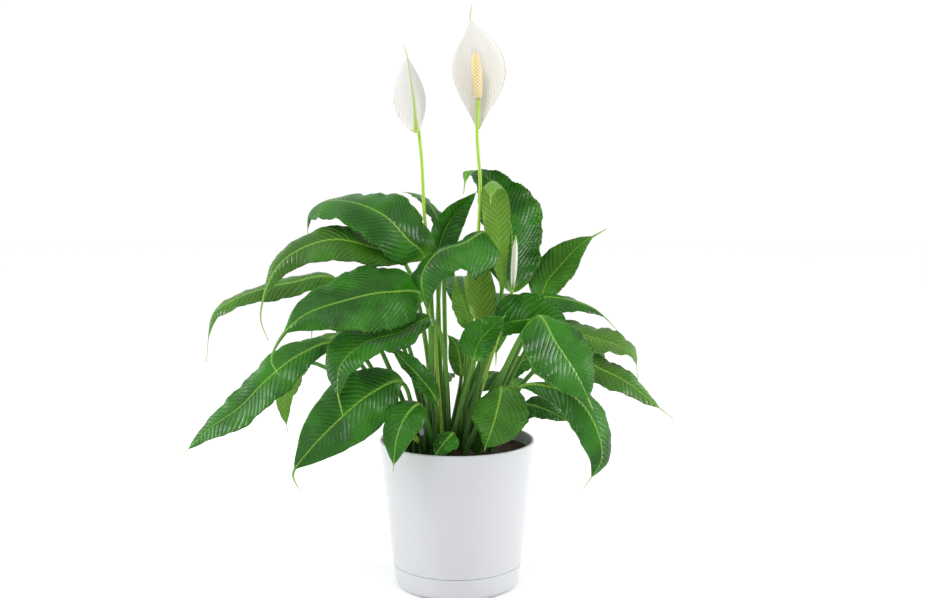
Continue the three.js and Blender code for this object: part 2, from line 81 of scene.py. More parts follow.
def soft_light(name, place, size, watts):
    """A square white area light at `place` that faces the plant."""
    lamp = bpy.data.lights.new(name, "AREA")
    lamp.size = size
    lamp.energy = watts
    light = bpy.data.objects.new(name, lamp)
    light.location = place
    light.rotation_euler = (Vector(PLANT_MIDDLE) - Vector(place)).to_track_quat("-Z", "Y").to_euler()
    scene.collection.objects.link(light)


soft_light("left_softbox", (-1.5, 0.1, 0.6), 0.4, 12.0)
soft_light("right_softbox", (1.5, 0.1, 0.6), 0.4, 14.0)
soft_light("top_softbox", (-0.5, -0.9, 1.5), 0.6, 7.0)

world = bpy.data.worlds.new("tent")
world.use_nodes = True
background = world.node_tree.nodes["Background"]
background.inputs["Color"].default_value = linear("#FFFFFF")
background.inputs["Strength"].default_value = TENT_BRIGHTNESS
scene.world = world
print("3 lights in a tent of brightness", TENT_BRIGHTNESS)

# %% [markdown]
# ## Helpers
# Every new surface is a grid of points, rows by columns, worked out with numpy. One function wraps such a
# grid into a mesh: its columns close into rings, and its first and last rows close into caps. Materials are
# node trees, and one function adds a node to them.

# %% Mesh helpers
def ring_mesh(name, grid, material, fields=None):
    """A closed mesh over a grid of rings (rows, columns, 3). Quads join each ring to the next, and a fan to
    a centre point closes each end. `fields` are point attributes with one value for each grid point."""
    rows, columns, _ = grid.shape
    index = np.arange(rows * columns).reshape(rows, columns)
    beside = np.roll(index, -1, axis=1)
    quads = np.stack([index[:-1], beside[:-1], beside[1:], index[1:]], axis=-1).reshape(-1, 4)
    first, last = rows * columns, rows * columns + 1
    caps = [np.stack([beside[0], index[0], np.full(columns, first)], axis=-1),
            np.stack([index[-1], beside[-1], np.full(columns, last)], axis=-1)]
    points = np.concatenate([grid.reshape(-1, 3), grid[0].mean(axis=0)[None], grid[-1].mean(axis=0)[None]])
    mesh = bpy.data.meshes.new(name)
    corners = np.concatenate([quads.ravel(), caps[0].ravel(), caps[1].ravel()])
    sizes = np.concatenate([np.full(len(quads), 4), np.full(2 * columns, 3)])
    mesh.vertices.add(len(points))
    mesh.vertices.foreach_set("co", points.astype(np.float32).ravel())
    mesh.loops.add(len(corners))
    mesh.loops.foreach_set("vertex_index", corners.astype(np.int32))
    mesh.polygons.add(len(sizes))
    mesh.polygons.foreach_set("loop_start", (np.cumsum(sizes) - sizes).astype(np.int32))
    mesh.polygons.foreach_set("use_smooth", np.ones(len(sizes), dtype=bool))
    mesh.update(calc_edges=True)
    for field, values in (fields or {}).items():
        flat = np.broadcast_to(values, (rows, columns))
        full = np.concatenate([flat.ravel(), [flat[0].mean(), flat[-1].mean()]])
        mesh.attributes.new(field, "FLOAT", "POINT").data.foreach_set("value", full.astype(np.float32))
    mesh.materials.append(material)
    piece = bpy.data.objects.new(name, mesh)
    scene.collection.objects.link(piece)
    return piece


def declare(piece, node):
    """The piece stands for a CAD node, which it hides, and rides on the model's one body."""
    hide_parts(node)
    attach(piece, "root")


# %% Material helpers
EASED = {"interpolation_type": "SMOOTHSTEP"}  # for a Map Range node that starts and stops gently
COLOURED = {"data_type": "RGBA"}  # for a Mix node that mixes colours


def new_material(name):
    """An empty Principled material: its tree and its shader."""
    material = bpy.data.materials.new(name)
    material.use_nodes = True
    tree = material.node_tree
    return material, tree, tree.nodes["Principled BSDF"]


def add(tree, kind, inputs=(), output=None, **settings):
    """Add a node of a kind with its settings, and give its first live output or the named one. Inputs are a
    list from the first socket on, or a dictionary by name, of values and of outputs to link from."""
    made = tree.nodes.new("ShaderNode" + kind)
    for key, value in settings.items():
        setattr(made, key, value)
    for key, value in inputs.items() if isinstance(inputs, dict) else enumerate(inputs):
        if isinstance(value, bpy.types.NodeSocket):
            tree.links.new(value, made.inputs[key])
        else:
            made.inputs[key].default_value = value
    return made.outputs[output] if output else next(socket for socket in made.outputs if socket.enabled)


# %% [markdown]
# ## Leaf finish
# A peace lily's leaf is dark and waxy above and paler and duller below. A pale midrib runs in a groove, and
# side veins leave it at an angle and sweep forward to the margin, with the blade puffed up a little between
# them and finer veins running alongside. The margin is a thin pale line. The mesh carries this pattern as
# attributes, so the veins follow the leaf wherever it bends: `vein` counts veins along the blade, `rib` and
# `edge` are the distances from midrib and margin in millimetres, `side` is 1 on the upper side, `stalk` is 1
# on the stalk, and the paleness field is how pale this leaf is. Young leaves are paler, and on leaves that
# the light shines through the paleness is painted light. `rib` grows faster near the tip, so that the midrib
# tapers. A picture of a leaf could be wrapped round it instead, but it would blur up close and stretch where
# the blade narrows.

# %% Leaf material
LEAF_GLOSS_ROUGHNESS = 0.2
LEAF_BACK_ROUGHNESS = 0.5
MOTTLES_PER_METRE = 30.0  # patches about 33 mm across
GRAINS_PER_METRE = 300.0  # the skin's grain, about 3 mm across, coarser than the real one so that it shows


def leaf_material():
    """Living leaf: a waxy cuticle over green tissue, semi-gloss above and duller below."""
    material, tree, shader = new_material("waxy_leaf")
    vein, rib, edge, side, stalk, pale_young_and_backlit = [add(tree, "Attribute", output="Fac", attribute_name=name)
                                          for name in ("vein", "rib", "edge", "side", "stalk", "pale_young_and_backlit")]
    place = add(tree, "TexCoord", output="Object")
    broad = add(tree, "TexNoise", {"Vector": place, "Scale": MOTTLES_PER_METRE, "Detail": 2.0})
    fine = add(tree, "TexNoise", {"Vector": place, "Scale": GRAINS_PER_METRE, "Detail": 2.0})

    # The side veins wander a little, and three finer ones run between each two. `away` is how far off the
    # nearest vein is, 0 on it and 0.5 midway between two.
    wander = add(tree, "Math", [broad, 0.9, vein], operation="MULTIPLY_ADD")
    away = add(tree, "Math", [wander, 0.5], operation="PINGPONG")
    finer = add(tree, "Math", [wander, 4.0], operation="MULTIPLY")
    finer_away = add(tree, "Math", [finer, 0.5], operation="PINGPONG")
    main_line = add(tree, "MapRange", [away, 0.0, 0.125, 1.0, 0.0], **EASED)
    thin_line = add(tree, "MapRange", [finer_away, 0.0, 0.3, 0.2, 0.0], **EASED)
    midrib = add(tree, "MapRange", [rib, 0.5, 1.5, 0.7, 0.0], **EASED)
    margin = add(tree, "MapRange", [edge, 0.1, 0.5, 0.5, 0.0], **EASED)

    # Each side has its own greens. Young leaves and the underside are paler, and leaves that the light shines
    # through are painted paler.
    # The stalks are painted darker towards their feet, as the shade among the crowded stalks above the soil.
    mottle = add(tree, "MapRange", [broad, 0.3, 0.7], **EASED)
    patches = add(tree, "MapRange", [broad, 0.4, 0.65, 0.1, 0.4], **EASED)
    patchy = add(tree, "Math", [main_line, patches], operation="MULTIPLY")
    upper = linear("#164A03")
    # Painted light: the pale share lightens young leaves, and on leaves that the light shines through it
    # paints that light into the colour.
    for share, over in ((mottle, "#286E08"), (pale_young_and_backlit, "#86AC40"), (patchy, "#5A942A"), (thin_line, "#3C8018")):
        upper = add(tree, "Mix", {"Factor": share, "A": upper, "B": linear(over)}, **COLOURED)
    faint = add(tree, "Math", [main_line, 0.3], operation="MULTIPLY")
    lower = linear("#47821F")
    for share, over in ((mottle, "#549128"), (pale_young_and_backlit, "#9CC455"), (faint, "#6FA040")):
        lower = add(tree, "Mix", {"Factor": share, "A": lower, "B": linear(over)}, **COLOURED)
    # Painted shade: the stalks are painted darker from 0.26 m down to 0.13 m, the shade among the crowded
    # stalks near the soil.
    height = add(tree, "SeparateXYZ", [place], output="Z")
    high = add(tree, "MapRange", [height, 0.13, 0.26], **EASED)
    greens = {"Factor": high, "A": linear("#1F440D"), "B": linear("#57892A")}
    shaded_stalk_green = add(tree, "Mix", greens, **COLOURED)
    colour = lower
    for share, over in ((side, upper), (midrib, linear("#8DBC46")), (margin, linear("#A3BC74")),
                        (stalk, shaded_stalk_green)):
        colour = add(tree, "Mix", {"Factor": share, "A": colour, "B": over}, **COLOURED)
    tree.links.new(colour, shader.inputs["Base Color"])

    # The blade sinks at its veins above and stands out at them below. The stalk is nearly smooth.
    main = add(tree, "Math", [away, -2.0, 1.0], operation="MULTIPLY_ADD")
    sunk = add(tree, "Math", [main, main], operation="MULTIPLY")
    both_sunk = add(tree, "Math", [thin_line, 0.8, sunk], operation="MULTIPLY_ADD")
    outward = add(tree, "Math", [side, -2.0, 1.0], operation="MULTIPLY_ADD")
    raised = add(tree, "Math", [both_sunk, outward], operation="MULTIPLY")
    grained = add(tree, "Math", [fine, 0.2, raised], operation="MULTIPLY_ADD")
    on_blade = add(tree, "MapRange", [stalk, 0.0, 0.6, 1.0, 0.05], **EASED)
    relief = add(tree, "Math", [grained, on_blade], operation="MULTIPLY")
    bump = add(tree, "Bump", {"Height": relief, "Distance": 0.001, "Strength": 0.9})
    tree.links.new(bump, shader.inputs["Normal"])
    dull = add(tree, "MapRange", [side, 0.0, 1.0, LEAF_BACK_ROUGHNESS, LEAF_GLOSS_ROUGHNESS])
    rough = add(tree, "Math", [fine, 0.15, dull], operation="MULTIPLY_ADD")
    tree.links.new(rough, shader.inputs["Roughness"])
    shader.inputs["IOR"].default_value = 1.4
    shader.inputs["Specular IOR Level"].default_value = 0.35
    return material


LEAF = leaf_material()
print("material", LEAF.name)

# %% [markdown]
# ## Leaf shape
# A leaf grows as one piece: a round stalk, a knee, and a blade that arches over its midrib. The midrib is a
# smooth curve through a few points. At each point of it stands a cross-section: two halves that leave the
# midrib at the fold angle and curl down to the margin. Where the blade's width is nothing, the same section
# is the round stalk.

# %% Curves through points
def smooth_curve(points, count=400):
    """A centripetal Catmull-Rom curve through the points, sampled finely. Gives the samples, their arc
    lengths, and the arc length at each given point. Between two points it is a cubic whose end slopes
    come from the neighbouring points, weighted by the square root of their distances."""
    points = np.asarray(points, dtype=float)
    padded = np.vstack([2 * points[0] - points[1], points, 2 * points[-1] - points[-2]])
    steps = np.sqrt(np.linalg.norm(np.diff(padded, axis=0), axis=1))[:, None]
    before, span, after = steps[:-2], steps[1:-1], steps[2:]
    p0, p1, p2, p3 = padded[:-3], padded[1:-2], padded[2:-1], padded[3:]
    start = ((p1 - p0) / before - (p2 - p0) / (before + span) + (p2 - p1) / span) * span
    end = ((p2 - p1) / span - (p3 - p1) / (span + after) + (p3 - p2) / after) * span
    t = np.linspace(0, 1, count, endpoint=False)[None, :, None]
    cubic = (p1[:, None] + start[:, None] * t + (3 * (p2 - p1) - 2 * start - end)[:, None] * t ** 2
             + (2 * (p1 - p2) + start + end)[:, None] * t ** 3)
    samples = np.vstack([cubic.reshape(-1, 3), points[-1:]])
    lengths = np.concatenate([[0], np.cumsum(np.linalg.norm(np.diff(samples, axis=0), axis=1))])
    return samples, lengths, lengths[::count]


def along_curve(samples, lengths, where):
    """Points and unit tangents of a sampled curve at the given arc lengths."""
    def at(s):
        return np.stack([np.interp(s, lengths, samples[:, axis]) for axis in range(3)], axis=-1)
    step = lengths[-1] * 0.004
    forward = at(np.minimum(where + step, lengths[-1])) - at(np.maximum(where - step, 0))
    return at(where), forward / np.linalg.norm(forward, axis=1, keepdims=True)


# %% Blade outline, section and frame
LEAF_OUTLINE = (0.6, 0.95)
TAIL_WIDTH = 0.06
MARGIN_WAVES = 3
MARGIN_WAVE_HEIGHT = 0.08


def outline(t, tail, rise, fall):
    """Half-width at t, 0 at the knee and 1 at the tip, as a share of the greatest: t^rise (1 - t)^fall over
    the body of the blade, and a thin straight drip tip after it."""
    inner = np.clip(t / (1 - tail), 0, 1)
    peak = rise / (rise + fall)
    body = (inner / peak) ** rise * ((1 - inner) / (1 - peak)) ** fall
    drip = TAIL_WIDTH * np.minimum(1, 4 * (1 - t)) * np.minimum(1, t * 20)
    return np.maximum(body, drip)


def section(v, fold, cup):
    """Across and upward offsets at v, -1 and 1 at the margins, and the slope there. Each half is an arc that
    starts at the fold angle and turns down by the cup angle, so its offsets are the integrals of the slope's
    cosine and sine."""
    slope = fold - cup * np.abs(v)
    across = np.sign(v) * (np.sin(fold) - np.sin(slope)) / cup
    return across, (np.cos(slope) - np.cos(fold)) / cup, slope * np.sign(v)


def leaf_frame(tangents, heading, roll):
    """Unit vectors across the leaf and out of its upper side. Level leaves face up, and roll turns them."""
    level = np.array([np.sin(heading), -np.cos(heading), 0.0])
    across = level - (tangents @ level)[:, None] * tangents
    across /= np.linalg.norm(across, axis=1, keepdims=True)
    normal = np.cross(across, tangents)
    cosine, sine = np.cos(roll)[:, None], np.sin(roll)[:, None]
    return across * cosine + normal * sine, normal * cosine - across * sine


# %% The leaf surface
STALK_RADIUS = 2.7
KNEE_RADIUS = 1.9
BLADE_HALF_THICKNESS = 0.35
STALK_FADE = 8  # how fast the stalk's extra thickness dies away along the blade
HALF_COLUMNS = 36
STALK_ROWS = 16
ROW_SPACING = 1.4
VEIN_SPACING = 5.6
# A side vein runs forward by these numbers times its distance from the midrib and that distance squared.
VEIN_SWEEP, VEIN_CURVE = 0.75, 0.010
# Waves of the blade: height as a share of the half-width, and number along the blade.
RIPPLE_HEIGHT, RIPPLES = 0.045, 7.3
FRILL_HEIGHT, FRILLS = 0.022, 15
SWELL_HEIGHT, SWELLS = 0.045, 1.7
# The midrib: depth or height, and the distance over which it fades, in millimetres.
GROOVE_DEPTH, GROOVE_REACH = 0.5, 1.2
RIDGE_HEIGHT, RIDGE_REACH = 0.9, 1.4
MIDRIB_WIDTH, MIDRIB_TAPER = 1.15, 0.95  # its drawn width at the blade's foot, and what it loses by the tip


def leaf_surface(leaf, stalk, seed):
    """A closed leaf as rings of points, with its fields. A ring runs over the upper side from margin to
    margin and back below. The section's offsets times the half-width give the mid-surface. A small circle of
    the stalk's or blade's half-thickness is added, so that one formula makes both. The midrib is a groove
    above and a ridge below, the blade puffs up between its side veins, and slow waves bend it."""
    random = np.random.default_rng(seed)
    samples, lengths, knots = smooth_curve(list(stalk) + list(leaf["blade"]))
    knee = knots[len(stalk)]
    on_stalk = np.linspace(0, knee, STALK_ROWS, endpoint=False) if stalk else np.zeros(0)
    blade_rows = int((lengths[-1] - knee) / ROW_SPACING)
    on_blade = knee + (lengths[-1] - knee) * np.linspace(0, 1, blade_rows) ** 1.05
    where = np.concatenate([on_stalk, on_blade])
    t = np.clip((where - knee) / (lengths[-1] - knee), 0, 1)[:, None]
    centre, tangents = along_curve(samples, lengths, where)
    roll = np.radians(leaf["roll"][0] + (leaf["roll"][1] - leaf["roll"][0]) * t[:, 0])
    across, normal = leaf_frame(tangents, np.radians(leaf["heading"]), roll)

    # Columns: v runs from margin to margin above and back below, and crowds together at the midrib.
    sweep = np.linspace(-1, 1, HALF_COLUMNS + 1)
    upper_v = np.sign(sweep) * np.abs(sweep) ** 1.2
    v = np.concatenate([upper_v[:-1], upper_v[::-1][:-1]])[None, :]
    side = np.concatenate([np.ones(HALF_COLUMNS), np.zeros(HALF_COLUMNS)])[None, :]
    turn = np.concatenate([(upper_v[:-1] + 1) / 2, 1 + (1 - upper_v[::-1][:-1]) / 2])[None, :] * np.pi

    half_width = leaf["width"] * outline(t, leaf["tail"], *leaf.get("outline", LEAF_OUTLINE))
    fold = np.radians(leaf["fold"][0] + (leaf["fold"][1] - leaf["fold"][0]) * t)
    sideways, upward, slope = section(v, fold, np.radians(leaf["cup"]))
    phases = random.uniform(0, 2 * np.pi, 6)
    calm = leaf.get("wave", MARGIN_WAVE_HEIGHT) / MARGIN_WAVE_HEIGHT
    wave = MARGIN_WAVE_HEIGHT * v ** 2 * np.sin(2 * np.pi * (MARGIN_WAVES * t + 0.35 * np.sign(v)))
    ripple = np.abs(v) ** 2 * np.sin(2 * np.pi * RIPPLES * t + phases[0] + np.sign(v) * phases[1])
    frill = np.abs(v) ** 4 * np.sin(2 * np.pi * FRILLS * t + phases[3] + np.sign(v) * phases[4])
    swell = np.abs(v) * np.sin(2 * np.pi * SWELLS * t + phases[2] + 2.5 * v)
    waves = calm * (wave + RIPPLE_HEIGHT * ripple + FRILL_HEIGHT * frill + SWELL_HEIGHT * swell)

    # Veins, and the relief that they and the midrib give the blade.
    distance = half_width * np.abs(v)
    swept = (where - knee)[:, None] - VEIN_SWEEP * distance - VEIN_CURVE * distance ** 2
    vein = swept / VEIN_SPACING + 40
    vein = vein + 0.3 * np.sin(2 * np.pi * 3.1 * t + phases[5]) + 0.5 * (v < 0)
    strength = np.minimum(t * 8, 1) * (1 - 0.75 * t) * np.minimum(half_width / 6, 1)
    groove = -GROOVE_DEPTH * strength * np.exp(-(distance / GROOVE_REACH) ** 2) * side
    ridge = -RIDGE_HEIGHT * strength * np.exp(-(distance / RIDGE_REACH) ** 2) * (1 - side)
    puff = -leaf.get("puff", 0) * strength * np.minimum(distance / 5, 1) * np.cos(2 * np.pi * vein)

    # The circle of the stalk's or blade's half-thickness.
    up_stalk = np.minimum(where / knee, 1)[:, None] if knee > 0 else np.ones_like(t)
    stalk_radius = STALK_RADIUS + (KNEE_RADIUS - STALK_RADIUS) * up_stalk
    half_thickness = BLADE_HALF_THICKNESS + (stalk_radius - BLADE_HALF_THICKNESS) * np.exp(-STALK_FADE * t)
    tilted = turn - slope * half_width / (half_width + 2 * half_thickness)
    x = half_width * sideways - half_thickness * np.cos(tilted)
    y = half_width * (upward + waves) + half_thickness * np.sin(tilted) + groove + ridge + calm * puff
    grid = centre[:, None] + across[:, None] * x[..., None] + normal[:, None] * y[..., None]
    rib = distance / (MIDRIB_WIDTH - MIDRIB_TAPER * t)
    fields = {"vein": vein, "rib": rib, "edge": half_width - distance, "side": side,
              "stalk": 1 - np.clip(t * 12, 0, 1), "pale_young_and_backlit": leaf.get("pale_young_and_backlit", 0.0)}
    return grid * MM, fields


# %% [markdown]
# ## The leaves
# `foot` is the stalk's foot around the crown, as a radius and an azimuth. `blade` is the midrib from knee to
# tip, `heading` the way the leaf grows out, `roll` its turn about the midrib at knee and tip, `fold`
# and `cup` its section, and `tail` the share of its length that is drip tip. Some leaves have an `outline`
# of their own, which is how the width rises and falls, or a `wave`, the height of the margins' waves. The
# leaves behind the plant are in the table too, so that it is full from every side.

# %% Leaf table
CROWN_X = -6
FOOT_BOTTOM = 125.3
FOOT_TOP = 140

LEAVES = {
    "leaf_01": dict(foot=(22, 202), heading=180, width=33, roll=(75, -15), fold=(18, -15), cup=25,
        tail=0.04, blade=[(-29, -22, 318), (-46, -30, 338), (-67, -36, 360), (-96, -32, 372),
            (-124, -18, 372), (-140, -2, 360), (-143, 8, 338)]),
    "leaf_02": dict(foot=(22, 234), heading=180, width=20, roll=(45, 60), fold=(0, -5), cup=30,
        tail=0.2, blade=[(-49, -30, 317), (-78, -42, 331), (-111, -52, 339), (-141, -60, 331),
            (-161, -64, 316), (-174, -64, 290), (-178, -62, 267), (-172, -58, 247)]),
    "leaf_03": dict(foot=(33, 180), heading=180, width=16, roll=(40, 20), fold=(-5, 0), cup=30,
        tail=0.12, blade=[(-117, 8, 296), (-159, 2, 294), (-191, -3, 287), (-215, -7, 277),
            (-231, -10, 265), (-239, -10, 219)]),
    "leaf_04": dict(foot=(33, 225), heading=195, width=36, roll=(50, 45), fold=(12, -5), cup=35,
        tail=0.22, blade=[(-30, -45, 284), (-60, -72, 293), (-98, -94, 288), (-132, -108, 277),
            (-151, -114, 260), (-161, -114, 238), (-155, -110, 224)]),
    "leaf_05": dict(foot=(44, 186), heading=190, width=11, roll=(20, 80), fold=(10, 10), cup=10,
        tail=0.1, blade=[(-105, -20, 244), (-139, -32, 236), (-167, -42, 221), (-191, -48, 195),
            (-206, -50, 178), (-203, -48, 165)]),
    "leaf_06": dict(foot=(44, 204), heading=190, width=23, roll=(45, 35), fold=(10, 0), cup=25,
        tail=0.04, outline=(0.9, 0.95), blade=[(-110, -40, 241), (-143, -55, 234), (-173, -66, 212),
            (-198, -72, 187), (-223, -76, 170), (-248, -80, 146)]),
    "leaf_07": dict(foot=(33, 157), heading=140, width=15, roll=(0, 0), fold=(10, 10), cup=30,
        tail=0.08, blade=[(-147, 35, 212), (-163, 45, 196), (-174, 50, 173), (-171, 50, 139)]),
    "leaf_08": dict(foot=(22, 267), heading=195, width=27, roll=(20, 45), fold=(25, 10), cup=20,
        tail=0.12, outline=(0.8, 0.95), blade=[(-21, -50, 264), (-51, -72, 256), (-81, -92, 250),
            (-101, -108, 233), (-104, -112, 213), (-100, -108, 188)]),
    "leaf_09": dict(foot=(44, 222), heading=205, width=29, roll=(60, 55), fold=(8, 0), cup=25,
        tail=0.14, outline=(0.7, 0.95), blade=[(-50, -62, 209), (-77, -86, 203), (-107, -104, 180),
            (-130, -116, 157), (-143, -118, 138), (-138, -114, 122)]),
    "leaf_10": dict(foot=(44, 249), heading=230, width=17, roll=(30, 30), fold=(8, 8), cup=30,
        tail=0.08, blade=[(-33, -74, 190), (-43, -93, 187), (-52, -106, 170), (-56, -110, 138)]),
    "leaf_11": dict(foot=(33, 247), heading=165, width=12, roll=(30, 30), fold=(20, 20), cup=10,
        tail=0.05, blade=[(-20, -40, 187), (-34, -50, 211), (-50, -58, 230), (-63, -62, 246)]),
    "leaf_12": dict(foot=(44, 268), heading=215, width=12, roll=(30, 20), fold=(5, 5), cup=30,
        tail=0.05, blade=[(-3, -48, 158), (-10, -56, 153), (-17, -61, 145), (-21, -62, 138)]),
    "leaf_13": dict(foot=(46, 235), heading=190, width=9, roll=(20, 10), fold=(10, 10), cup=20,
        tail=0.05, blade=[(-36, -48, 152), (-44, -56, 159), (-52, -62, 155), (-56, -66, 148)]),
    "leaf_14": dict(foot=(10, 288), heading=205, width=38, roll=(15, 10), fold=(-12, -15), cup=30,
        tail=0.1, blade=[(29, -16, 341), (6, -45, 335), (-19, -68, 327), (-31, -87, 306),
            (-21, -99, 266)]),
    "leaf_15": dict(foot=(10, 72), heading=-90, width=17, roll=(0, 0), fold=(-20, -20), cup=35,
        tail=0.05, outline=(1.1, 0.8), blade=[(43, 6, 286), (40, 4, 320), (38, 2, 352),
            (36, -4, 378), (34, -16, 391), (32, -32, 388), (31, -40, 370)]),
    "leaf_16": dict(foot=(22, 71), heading=60, width=38, roll=(15, -5), fold=(12, 10), cup=25,
        tail=0.06, outline=(0.7, 1.2), blade=[(54, 45, 280), (55, 52, 318), (53, 56, 350),
            (41, 54, 379), (24, 44, 397), (11, 34, 399), (6, 26, 378)]),
    "leaf_17": dict(foot=(10, 144), heading=120, width=16, roll=(10, 30), fold=(35, 35), cup=10,
        tail=0.05, blade=[(-18, 20, 312), (-15, 24, 335), (-3, 27, 358), (21, 24, 382)]),
    "leaf_18": dict(foot=(22, 104), heading=150, width=12, roll=(0, 0), fold=(10, 10), cup=30,
        tail=0.05, blade=[(-17, 60, 339), (-25, 68, 362), (-40, 78, 375), (-56, 90, 378)]),
    "leaf_19": dict(foot=(22, 332), heading=-100, width=20, roll=(-20, -10), fold=(-25, -25), cup=40,
        tail=0.08, blade=[(24, -18, 256), (21, -15, 282), (20, -13, 310), (22, -14, 338)]),
    "leaf_20": dict(foot=(22, 299), heading=-110, width=12, roll=(10, 10), fold=(-20, -20), cup=40,
        tail=0.08, blade=[(13, -42, 255), (9, -46, 274), (3, -50, 291), (-2, -56, 308)]),
    "leaf_21": dict(foot=(33, 22), heading=20, width=20, roll=(-45, -50), fold=(20, 20), cup=15,
        tail=0.15, outline=(0.7, 1.1), blade=[(81, 30, 272), (89, 36, 292), (102, 38, 308),
            (121, 36, 328), (146, 32, 344)]),
    "leaf_22": dict(foot=(22, 5), heading=0, width=20, roll=(-25, -20), fold=(-10, -10), cup=30,
        tail=0.15, blade=[(41, 2, 264), (70, -2, 280), (102, -10, 280), (128, -14, 272),
            (140, -18, 263), (153, -17, 249)]),
    "leaf_23": dict(foot=(33, 292), heading=-5, width=25, roll=(-60, -50), fold=(30, 30), cup=-10,
        tail=0.05, blade=[(40, -33, 254), (60, -45, 264), (84, -55, 264), (104, -61, 252)]),
    "leaf_24": dict(foot=(33, 315), heading=-50, width=34, roll=(-10, -15), fold=(5, 5), cup=25,
        tail=0.1, outline=(0.8, 0.95), blade=[(72, -82, 272), (87, -104, 252), (106, -115, 223),
            (119, -116, 195)]),
    "leaf_25": dict(foot=(33, 0), heading=5, width=20, roll=(-30, -30), fold=(15, 5), cup=20,
        tail=0.12, outline=(1.0, 0.95), blade=[(86, -10, 254), (120, -22, 247), (150, -34, 239),
            (164, -40, 232), (168, -44, 208)]),
    "leaf_26": dict(foot=(33, 337), heading=-10, width=17, roll=(-40, -30), fold=(5, 5), cup=25,
        tail=0.14, outline=(0.8, 0.95), blade=[(96, -35, 233), (132, -52, 220), (156, -62, 209),
            (178, -68, 192), (198, -70, 176)]),
    "leaf_27": dict(foot=(44, 308), heading=-25, width=20, roll=(-30, -50), fold=(-10, -10), cup=30,
        tail=0.08, outline=(1.3, 0.95), blade=[(55, -55, 202), (80, -74, 208), (107, -92, 200),
            (124, -100, 175), (129, -98, 146), (114, -92, 118)]),
    "leaf_28": dict(foot=(44, 330), heading=-10, width=13, roll=(-40, -30), fold=(10, 10), cup=20,
        tail=0.05, blade=[(63, -28, 180), (82, -36, 179), (105, -42, 168)]),
    "leaf_29": dict(foot=(44, 290), heading=-110, width=29, roll=(-10, -5), fold=(0, 0), cup=25,
        tail=0.06, blade=[(41, -59, 204), (38, -68, 188), (32, -69, 167), (25, -62, 145)]),
    "leaf_30": dict(foot=(33, 270), heading=30, width=18, roll=(-30, -60), fold=(30, 30), cup=10,
        tail=0.05, blade=[(16, -50, 228), (21, -56, 246), (32, -58, 259), (45, -56, 270)]),
    "leaf_31": dict(foot=(33, 90), heading=100, width=11, roll=(0, 0), fold=(10, 10), cup=30,
        tail=0.05, blade=[(4, 55, 194), (2, 66, 213), (-3, 76, 226), (-11, 84, 233)]),
    "leaf_32": dict(foot=(44, 42), heading=30, width=12, roll=(-20, -20), fold=(0, 0), cup=30,
        tail=0.05, blade=[(48, 45, 193), (63, 55, 208), (79, 62, 214), (96, 66, 217)]),
    "leaf_33": dict(foot=(22, 136), heading=110, width=14, roll=(0, 0), fold=(10, 10), cup=20,
        tail=0.05, blade=[(-17, 60, 296), (-13, 68, 315), (-7, 78, 328), (-5, 92, 333)]),
    "leaf_34": dict(foot=(22, 169), heading=165, width=17, roll=(20, 20), fold=(10, 10), cup=20,
        tail=0.05, blade=[(-32, 5, 280), (-59, 5, 294), (-85, 2, 300), (-107, -2, 298)]),
    "leaf_35": dict(foot=(33, 67), heading=80, width=28, roll=(0, 0), fold=(10, 0), cup=30,
        tail=0.1, blade=[(26, 76, 258), (32, 104, 272), (38, 136, 262), (42, 162, 228), (42, 172, 184)]),
    "leaf_36": dict(foot=(44, 120), heading=125, width=30, roll=(0, 0), fold=(10, 0), cup=30,
        tail=0.12, blade=[(-62, 84, 250), (-84, 112, 252), (-108, 142, 232), (-122, 160, 195),
            (-124, 164, 160)]),
    "leaf_37": dict(foot=(44, 62), heading=45, width=27, roll=(0, 0), fold=(8, 0), cup=30,
        tail=0.1, blade=[(80, 92, 236), (108, 106, 234), (142, 116, 208), (156, 128, 168)]),
    "leaf_38": dict(foot=(44, 102), heading=100, width=22, roll=(0, 0), fold=(10, 0), cup=30,
        tail=0.1, blade=[(-18, 72, 186), (-24, 98, 190), (-30, 124, 172), (-32, 136, 138)]),
    "leaf_39": dict(foot=(44, 86), heading=60, width=23, roll=(0, 0), fold=(10, 0), cup=30,
        tail=0.1, blade=[(22, 72, 176), (38, 98, 190), (56, 124, 180), (66, 140, 146)]),
    "leaf_40": dict(foot=(33, 135), heading=150, width=24, roll=(0, 10), fold=(10, 0), cup=30,
        tail=0.1, blade=[(-70, 50, 262), (-98, 68, 278), (-127, 84, 272), (-148, 96, 248),
            (-152, 100, 220)]),
    "leaf_41": dict(foot=(46, 74), heading=95, width=22, roll=(0, 0), fold=(10, 0), cup=30,
        tail=0.1, blade=[(10, 58, 262), (8, 82, 284), (6, 108, 290), (4, 132, 276), (2, 146, 246)]),
    "leaf_42": dict(foot=(44, 160), heading=160, width=19, roll=(0, 0), fold=(10, 0), cup=30,
        tail=0.1, blade=[(-70, 30, 166), (-98, 42, 176), (-126, 54, 160), (-138, 60, 132)]),
    "leaf_43": dict(foot=(44, 22), heading=25, width=19, roll=(0, 0), fold=(10, 0), cup=30,
        tail=0.1, blade=[(72, 30, 158), (96, 44, 168), (120, 56, 154), (132, 62, 128)]),
}

# How pale a leaf is. Young leaves are paler, and so are leaves that the light shines through; their paleness
# is painted light in the colour.
PALE_YOUNG_AND_BACKLIT = {"leaf_02": 0.12, "leaf_03": 0.15, "leaf_05": 0.4, "leaf_07": 0.3, "leaf_13": 0.8, "leaf_15": 0.5,
         "leaf_19": 0.6, "leaf_20": 0.2, "leaf_21": 0.08, "leaf_25": 0.25, "leaf_26": 0.15, "leaf_29": 0.1,
         "leaf_31": 0.2}
# How far a leaf's blade puffs up between its veins, in millimetres.
USUAL_PUFF = 0.25
PUFFS = {"leaf_01": 0.4, "leaf_04": 0.45, "leaf_16": 0.8, "leaf_24": 0.35, "leaf_27": 0.4}


